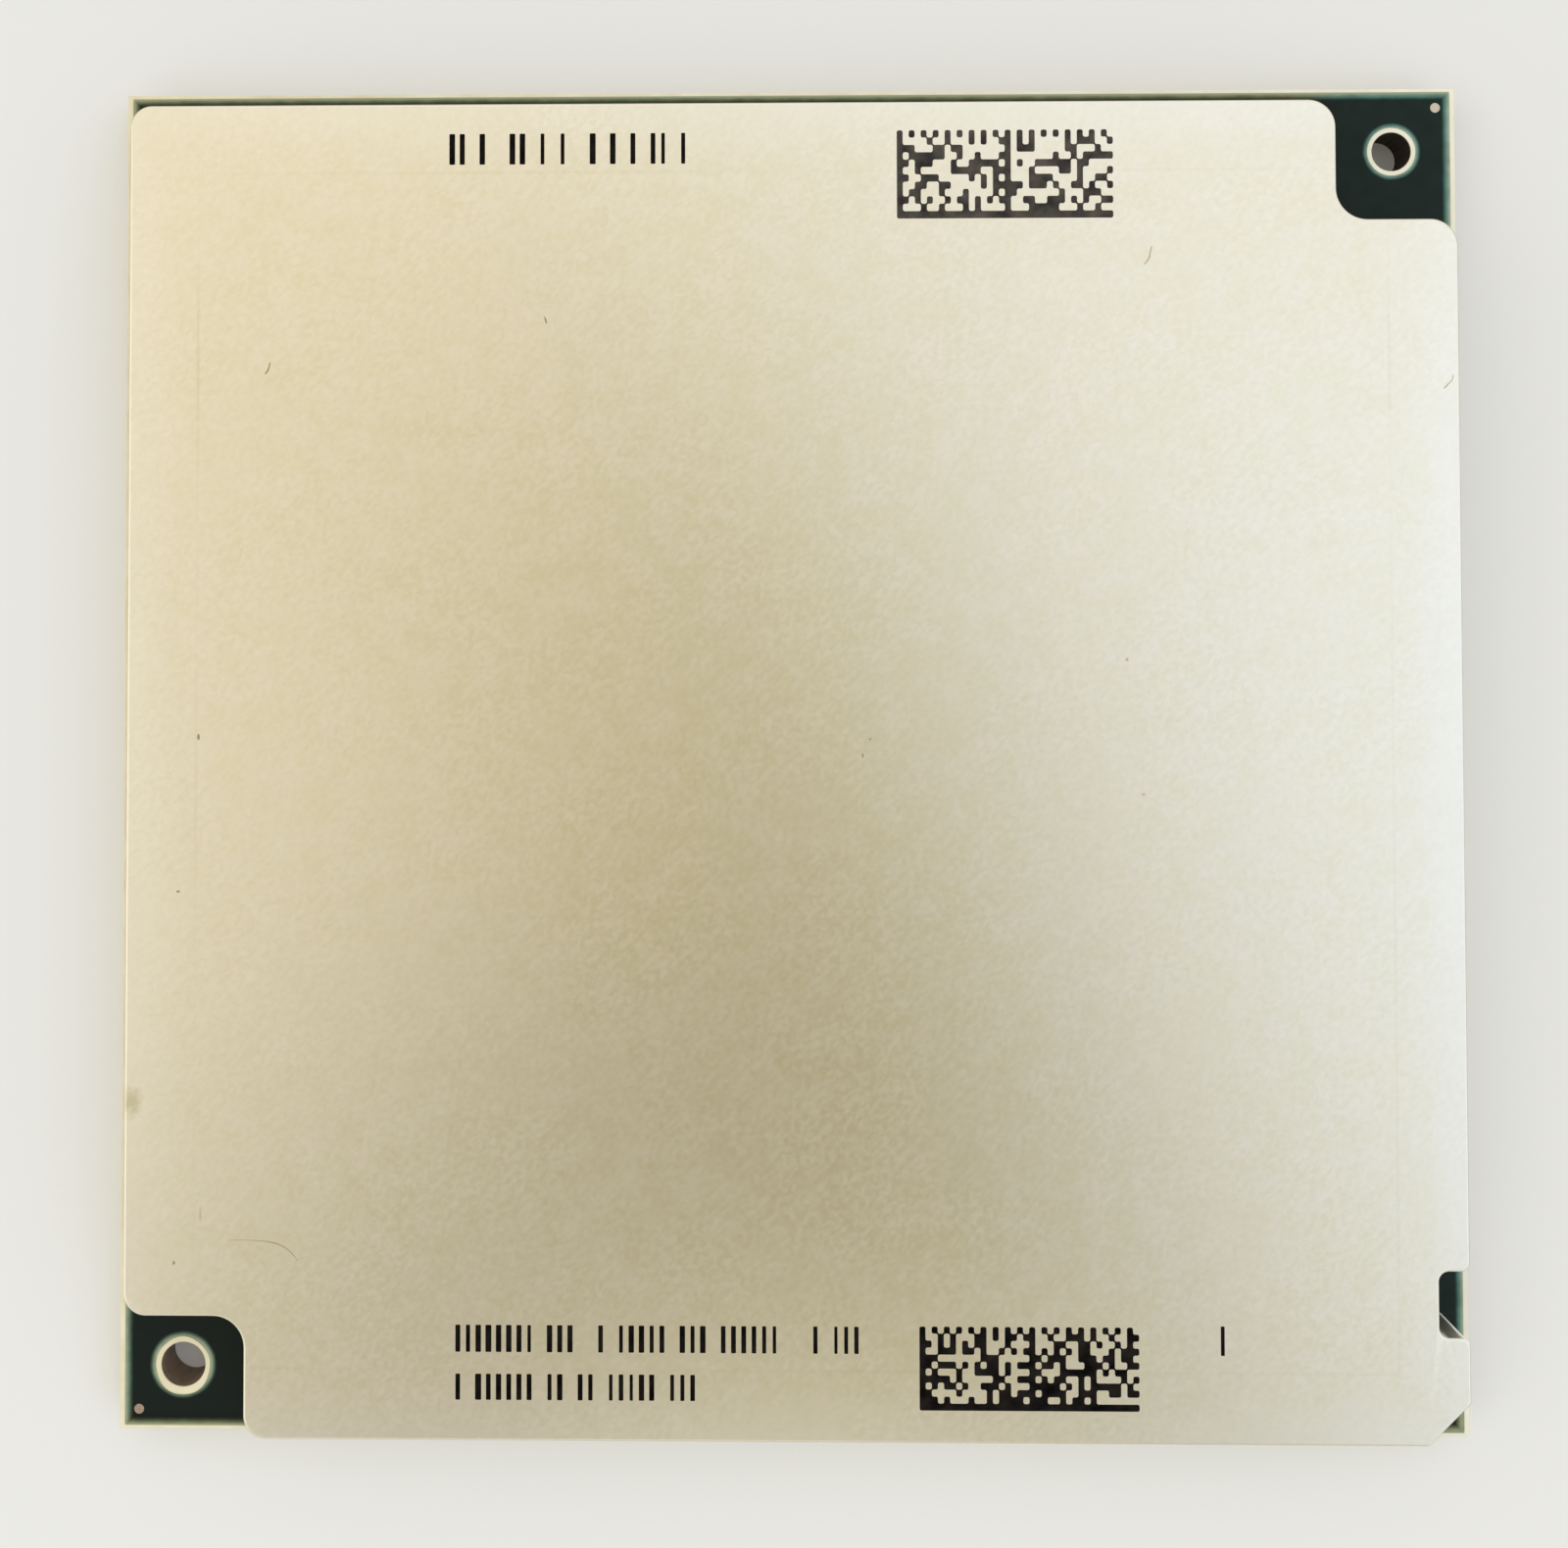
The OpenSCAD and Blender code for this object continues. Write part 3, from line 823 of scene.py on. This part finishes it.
def code_tree():
    """A field in two halves: two sides of each whole, two with every other cell, the rest chance."""
    tree = bpy.data.node_groups.new("cell field", "GeometryNodeTree")
    size = tree_inputs(
        tree,
        Columns="Int",
        Rows="Int",
        PitchX="Float",
        PitchY="Float",
        Thickness="Float",
        Share="Float",
        Seed="Int",
        Centre="Vector",
        Tiles="Collection",
        Finish="Material",
    )
    columns, rows = size["Columns"], size["Rows"]
    half = sums(tree, "DIVIDE", columns, 2.0)
    counts = [sums(tree, "ADD", columns, 1.0), sums(tree, "ADD", rows, 1.0)]
    grid = knot(tree, "GeometryNodeMeshGrid", {0: columns, 1: rows, 2: counts[0], 3: counts[1]})
    position = knot(tree, "GeometryNodeInputPosition", {})
    spot = knot(tree, "ShaderNodeSeparateXYZ", {0: position}).node.outputs
    along = sums(tree, "ROUND", sums(tree, "ADD", spot["X"], half))
    above = sums(tree, "ROUND", sums(tree, "ADD", spot["Y"], sums(tree, "DIVIDE", rows, 2.0)))
    number = None
    for k, (right, up) in enumerate(((-1, -1), (0, -1), (0, 0), (-1, 0))):
        column = sums(tree, "ADD", along, float(right))
        row = sums(tree, "ADD", above, float(up))
        low = sums(tree, "MINIMUM", column, row)
        rows_left = sums(tree, "SUBTRACT", rows, row)
        high = sums(tree, "MINIMUM", sums(tree, "SUBTRACT", columns, column), rows_left)
        past_first = sums(tree, "GREATER_THAN", low, -0.5)
        inside = sums(tree, "MULTIPLY", past_first, sums(tree, "GREATER_THAN", high, 0.5))
        in_half = sums(tree, "MODULO", column, half)
        first = sums(tree, "MINIMUM", in_half, row)
        last = sums(tree, "MINIMUM", sums(tree, "SUBTRACT", half, in_half), rows_left)
        whole = sums(tree, "LESS_THAN", first, 0.5)
        other = sums(tree, "LESS_THAN", last, 1.5)
        odd = sums(tree, "MODULO", sums(tree, "ADD", column, row), 2.0)
        which = sums(tree, "ADD", sums(tree, "MULTIPLY", row, columns), column)
        drawn = chance(tree, size["Share"], size["Seed"], which)
        fallen = sums(tree, "MULTIPLY", drawn, sums(tree, "SUBTRACT", 1.0, other))
        every_other = sums(tree, "MULTIPLY", odd, other)
        dark = sums(tree, "MAXIMUM", whole, sums(tree, "MAXIMUM", fallen, every_other))
        bit = sums(tree, "MULTIPLY", sums(tree, "MULTIPLY", dark, inside), 2.0 ** k)
        number = bit if number is None else sums(tree, "ADD", number, bit)
    empty = sums(tree, "LESS_THAN", number, 0.5)
    points = knot(tree, "GeometryNodeDeleteGeometry", {0: grid, "Selection": empty}, domain="POINT")
    tiles = knot(
        tree,
        "GeometryNodeCollectionInfo",
        {"Collection": size["Tiles"], "Separate Children": True, "Reset Children": True},
    )
    cells = knot(
        tree,
        "GeometryNodeInstanceOnPoints",
        {
            "Points": points,
            "Instance": tiles,
            "Pick Instance": True,
            "Instance Index": sums(tree, "SUBTRACT", number, 1.0),
        },
    )
    cell_size = {"X": size["PitchX"], "Y": size["PitchY"], "Z": size["Thickness"]}
    stretch = knot(tree, "ShaderNodeCombineXYZ", cell_size)
    laid = {"Geometry": cells, "Translation": size["Centre"], "Scale": stretch}
    moved = knot(tree, "GeometryNodeTransform", laid)
    end_tree(tree, moved, size["Finish"], weld_reach)
    return tree


def ink_cell(tree, width, height, thickness):
    """A flat bar with round corners, closed below."""
    sides = {"Width": width, "Height": height}
    rim = knot(tree, "GeometryNodeCurvePrimitiveQuadrilateral", sides)
    corner = sums(tree, "MULTIPLY", sums(tree, "MINIMUM", width, height), bar_round)
    fillet = {"Curve": rim, "Radius": corner, "Count": 2}
    rounded = knot(tree, "GeometryNodeFilletCurve", fillet, mode="POLY")
    flat = knot(tree, "GeometryNodeFillCurve", {"Curve": rounded}, mode="NGONS")
    raised = knot(
        tree,
        "GeometryNodeExtrudeMesh",
        {"Mesh": flat, "Offset": (0, 0, 1), "Offset Scale": thickness, "Individual": False},
    )
    under = knot(tree, "GeometryNodeFlipFaces", {"Mesh": flat})
    both = tree.nodes.new("GeometryNodeJoinGeometry")
    tree.links.new(raised, both.inputs[0])
    tree.links.new(under, both.inputs[0])
    joined = {"Geometry": both.outputs[0], "Distance": weld_reach}
    return knot(tree, "GeometryNodeMergeByDistance", joined)


def bar_tree():
    """A row of plain upright bars of uneven width, with gaps left by chance."""
    tree = bpy.data.node_groups.new("bar row", "GeometryNodeTree")
    size = tree_inputs(
        tree,
        Bars="Int",
        Pitch="Float",
        Width="Float",
        Height="Float",
        Thickness="Float",
        Share="Float",
        Seed="Int",
        Start="Vector",
        Finish="Material",
    )
    step = knot(tree, "ShaderNodeCombineXYZ", {"X": size["Pitch"]})
    line = knot(
        tree,
        "GeometryNodeMeshLine",
        {"Count": size["Bars"], "Start Location": size["Start"], "Offset": step},
    )
    drawn = chance(tree, size["Share"], size["Seed"])
    gone = sums(tree, "LESS_THAN", drawn, 0.5)
    points = knot(tree, "GeometryNodeDeleteGeometry", {0: line, "Selection": gone}, domain="POINT")
    widths = knot(tree, "FunctionNodeRandomValue", {}, data_type="FLOAT").node
    widths.inputs[2].default_value, widths.inputs[3].default_value = bar_widening
    tree.links.new(size["Seed"], widths.inputs["Seed"])
    wide = knot(tree, "ShaderNodeCombineXYZ", {"X": widths.outputs[1], "Y": 1.0, "Z": 1.0})
    bar = ink_cell(tree, size["Width"], size["Height"], size["Thickness"])
    bars = knot(
        tree, "GeometryNodeInstanceOnPoints", {"Points": points, "Instance": bar, "Scale": wide}
    )
    end_tree(tree, bars, size["Finish"])
    return tree


def ink_finish(name, dark, pale, shine):
    """Laser-blackened nickel, unevenly burnt."""
    material, tree, shader, place = new_finish(name)
    cloud = noise(tree, place, 1100, 3)
    tree.links.new(ramp(tree, cloud, (0.32, dark), (0.68, pale)), shader.inputs["Base Color"])
    tree.links.new(spread(tree, cloud, 0.3, 0.7, 0.5, 0.68), shader.inputs["Roughness"])
    tree.links.new(relief(tree, noise(tree, place, 16000, 2), 0.001 * mm), shader.inputs["Normal"])
    shader.inputs["Specular IOR Level"].default_value = shine
    return material


cell_field = code_tree()
tiles = bpy.data.collections.new("tiles")
bpy.context.scene.collection.children.link(tiles)
for number in range(1, 16):
    tiles.objects.link(code_tile(number))
grey_ink = ink_finish("grey marks", tint(38, 35, 36), tint(82, 77, 70), 0.1)
dark_ink = ink_finish("dark marks", tint(3, 2, 3), tint(34, 30, 28), 0.03)
for name, left, right, lower, upper, share, seed, cell_ink in (
    ("upper_cells", 5.29, 15.97, 26.92, 31.32, 0.42, 7, grey_ink),
    ("lower_cells", 6.17, 16.85, -31.46, -27.41, 0.5, 19, dark_ink),
):
    cells = grow(
        name,
        cell_field,
        Columns=code_columns,
        Rows=code_rows,
        PitchX=(right - left) * mm / code_columns,
        PitchY=(upper - lower) * mm / code_rows,
        Thickness=print_t,
        Share=share,
        Seed=seed,
        Centre=((left + right) / 2 * mm, (lower + upper) / 2 * mm, lid_top),
        Tiles=tiles,
        Finish=cell_ink,
    )
    add_piece(name, cells, cell_ink, "nickel_plate")
for tile in list(tiles.objects):
    bpy.data.objects.remove(tile)
bpy.data.collections.remove(tiles)

bar_ink = ink_finish("black marks", tint(4, 3, 3), tint(26, 22, 20), 0.03)
bar_row = bar_tree()
bar_width = 0.15 * mm
bar_pitch = 0.5 * mm
for name, left, bars, lower, upper, share, seed in (
    ("upper_bars", -17.3, 25, 29.71, 31.25, 0.72, 3),
    ("lower_bars", -16.4, 40, -28.75, -27.44, 0.72, 11),
    ("lowest_bars", -16.4, 24, -31.07, -29.81, 0.75, 5),
    ("single_bar", 20.9, 1, -28.75, -27.33, 1.0, 2),
):
    row = grow(
        name,
        bar_row,
        Bars=bars,
        Pitch=bar_pitch,
        Width=bar_width,
        Height=(upper - lower) * mm,
        Thickness=print_t,
        Share=share,
        Seed=seed,
        Start=(left * mm, (lower + upper) / 2 * mm, lid_top),
        Finish=bar_ink,
    )
    add_piece(name, row, bar_ink, "nickel_plate")

# Wear on the lid: short fibres and specks of dust that lie on it, a curved scratch near the large
# guide hole and a nick at the right edge. Handling left them, and they hardly show.
speck_steps = 9
speck_seed = 4
speck_reach = (0.38, 0.58)
wear_depth = 0.002 * mm
dark_fibres = [
    [(-26.10, 19.29, 0.07), (-25.98, 19.45, 0.08), (-25.91, 19.62, 0.07), (-25.85, 19.87, 0.06)],
    [(-12.20, 22.12, 0.03), (-12.15, 21.98, 0.08), (-12.11, 21.86, 0.08), (-12.09, 21.76, 0.04)],
    [
        (-27.77, -23.39, 0.01),
        (-27.20, -23.37, 0.02),
        (-26.63, -23.39, 0.02),
        (-26.16, -23.41, 0.03),
        (-25.77, -23.45, 0.04),
        (-25.45, -23.51, 0.05),
        (-25.18, -23.60, 0.05),
        (-24.93, -23.73, 0.04),
        (-24.72, -23.88, 0.04),
        (-24.50, -24.10, 0.03),
        (-24.31, -24.36, 0.02),
    ],
]
dark_specks = [
    (-29.33, 1.31, 0.16, 0.31),
    (-30.30, -6.32, 0.23, 0.11),
    (-30.40, -24.50, 0.13, 0.21),
    (3.88, 1.19, 0.11, 0.11),
    (3.51, 0.37, 0.10, 0.24),
]
pale_fibres = [
    [
        (17.47, 24.60, 0.05),
        (17.62, 24.75, 0.09),
        (17.73, 24.94, 0.09),
        (17.77, 25.18, 0.08),
        (17.85, 25.50, 0.06),
    ],
    [(32.13, 18.41, 0.07), (32.34, 18.64, 0.06), (32.53, 18.83, 0.05), (32.57, 19.09, 0.04)],
]
pale_specks = [(17.25, -1.51, 0.20, 0.16), (16.49, 5.10, 0.18, 0.20)]


def lay_flat(mesh, loop):
    """A thin film on the lid with the given outline."""
    low, high = raise_wall(mesh, lambda inset: loop, [(0, lid_top), (0, lid_high.z)])
    close_face(mesh, [low], -1)
    close_face(mesh, [high], 1)


def add_wear(name, fibres, specks, finish):
    """Fibres along (x, y, width) points and ragged specks of (x, y, width, length), in millimetres."""
    mesh = bmesh.new()
    for path in fibres:
        sides = ([], [])
        for i, (x, y, width) in enumerate(path):
            ahead, behind = path[min(i + 1, len(path) - 1)], path[max(i - 1, 0)]
            along = Vector((ahead[0] - behind[0], ahead[1] - behind[1])).normalized() * width / 2
            sides[0].append(((x + along.y) * mm, (y - along.x) * mm))
            sides[1].append(((x - along.y) * mm, (y + along.x) * mm))
        lay_flat(mesh, sides[0] + sides[1][::-1])
    ragged = random.Random(speck_seed)
    for x, y, width, length in specks:
        loop = []
        for step in range(speck_steps):
            turn = 2 * math.pi * step / speck_steps
            reach = ragged.uniform(*speck_reach)
            aside, along = reach * width * math.cos(turn), reach * length * math.sin(turn)
            loop.append(((x + aside) * mm, (y + along) * mm))
        lay_flat(mesh, loop)
    add_shell(name, mesh, finish, "nickel_plate")


dark_wear = grained_finish(
    "dark wear", tint(138, 126, 90), tint(160, 148, 110), 0.75, 0, 9000, wear_depth
)
pale_wear = grained_finish(
    "pale wear", tint(178, 167, 134), tint(196, 186, 156), 0.75, 0, 9000, wear_depth
)
add_wear("dark_wear", dark_fibres, dark_specks, dark_wear)
add_wear("pale_wear", pale_fibres, pale_specks, pale_wear)

# Floor: a plain pale sheet that the object lies on, larger than any view of it.
# It is matte, so that it takes a soft shadow and throws light back at the board's edges.
floor_half = 3.0
floor_squares = 8


def floor_finish():
    """Pale matte sheet, hardly uneven."""
    material, tree, shader, place = new_finish("pale sheet")
    cloud = noise(tree, place, 4, 3)
    pale = ramp(tree, cloud, (0.3, tint(226, 226, 226)), (0.7, tint(230, 230, 229)))
    tree.links.new(pale, shader.inputs["Base Color"])
    shader.inputs["Roughness"].default_value = 0.8
    shader.inputs["Specular IOR Level"].default_value = 0.1
    return material


sheet = bmesh.new()
bmesh.ops.create_grid(sheet, x_segments=floor_squares, y_segments=floor_squares, size=floor_half)
floor_data = bpy.data.meshes.new("floor")
sheet.to_mesh(floor_data)
sheet.free()
floor_data.materials.append(floor_finish())
floor = bpy.data.objects.new("floor", floor_data)
bpy.context.scene.collection.objects.link(floor)

# Light: a soft studio sky, warm on the left and cool on the right, with a darker patch in front
# and a paler one below that, and one large soft lamp from the upper left that gives the shadows.
sky_slant = 0.33
warm_side = (1.09, 1.04, 0.91, 1)
dim_middle = (0.54, 0.46, 0.21, 1)
cool_side = (1.19, 1.3, 1.49, 1)
warm_back = (1.2, 1.1, 0.88, 1)
cool_back = (1.17, 1.2, 1.21, 1)
low_light = (0.9, 0.9, 0.9, 1)
dark_patch = (-0.05, -0.485, 0.87)
dark_patch_w = 0.46
dark_patch_share = 0.34
pale_patch = (0.03, -0.58, 0.81)
pale_patch_w = 0.3
pale_patch_light = (1.23, 1.2, 1.05, 1)
lamp_side = 0.8
lamp_power = 0.9
lamp_at = (-0.75, -0.1, 0.42)
world = bpy.data.worlds.new("studio")
bpy.context.scene.world = world
world.use_nodes = True
sky = world.node_tree
toward = sky.nodes.new("ShaderNodeTexCoord").outputs["Generated"]
axes = knot(sky, "ShaderNodeSeparateXYZ", {0: toward}).node.outputs
slanted = sums(sky, "ADD", axes["X"], sums(sky, "MULTIPLY", axes["Y"], sky_slant))
sideways = spread(sky, slanted, -0.45, 0.42)
side_light = ramp(sky, sideways, (0.0, warm_side), (0.5, dim_middle), (1.0, cool_side))
behind = ramp(sky, sideways, (0.0, warm_back), (1.0, cool_back))
back_light = blend(sky, spread(sky, axes["Y"], -0.1, 0.39), side_light, behind)


def away_from(direction):
    """How far the sky lies from a direction."""
    ends = {0: toward, 1: Vector(direction).normalized()}
    return knot(sky, "ShaderNodeVectorMath", ends, operation="DISTANCE").node.outputs["Value"]


shade = spread(sky, away_from(dark_patch), 0.0, dark_patch_w, dark_patch_share, 1.0)
shaded = blend(sky, 1.0, back_light, shade, "MULTIPLY")
glow = spread(sky, away_from(pale_patch), 0.0, pale_patch_w, 1.0, 0.0)
overhead = blend(sky, glow, shaded, pale_patch_light)
height = spread(sky, axes["Z"], 0.3, 0.66)
studio = blend(sky, height, low_light, overhead)
sky.links.new(studio, sky.nodes["Background"].inputs["Color"])

lamp_data = bpy.data.lights.new("soft lamp", "AREA")
lamp_data.shape = "SQUARE"
lamp_data.size = lamp_side
lamp_data.energy = lamp_power
lamp = bpy.data.objects.new("soft lamp", lamp_data)
lamp.location = lamp_at
lamp.rotation_euler = (-lamp.location).to_track_quat("-Z", "Y").to_euler()
bpy.context.scene.collection.objects.link(lamp)

# Camera: held close above the lid, a little left of and behind its middle.
# Its shift moves the frame off the lens's axis, as a cut-down picture has.
picture_w = 1600
picture_h = 1580
focal_px = 1675.0
axis_px = (719.86, 559.77)
sensor_w = 36.0
camera_at = (-3.021 * mm, 8.779 * mm, 86.524 * mm)
camera_turn = (0.0223, 0.0148, -0.0013)
camera_data = bpy.data.cameras.new("camera")
camera_data.sensor_width = sensor_w
camera_data.lens = focal_px / picture_w * sensor_w
camera_data.shift_x = (picture_w / 2 - axis_px[0]) / picture_w
camera_data.shift_y = (axis_px[1] - picture_h / 2) / picture_w
camera_data.clip_start = 1 * mm
camera = bpy.data.objects.new("camera", camera_data)
camera.location = camera_at
camera.rotation_euler = camera_turn
bpy.context.scene.collection.objects.link(camera)
bpy.context.scene.camera = camera
bpy.context.scene.view_settings.view_transform = "Standard"
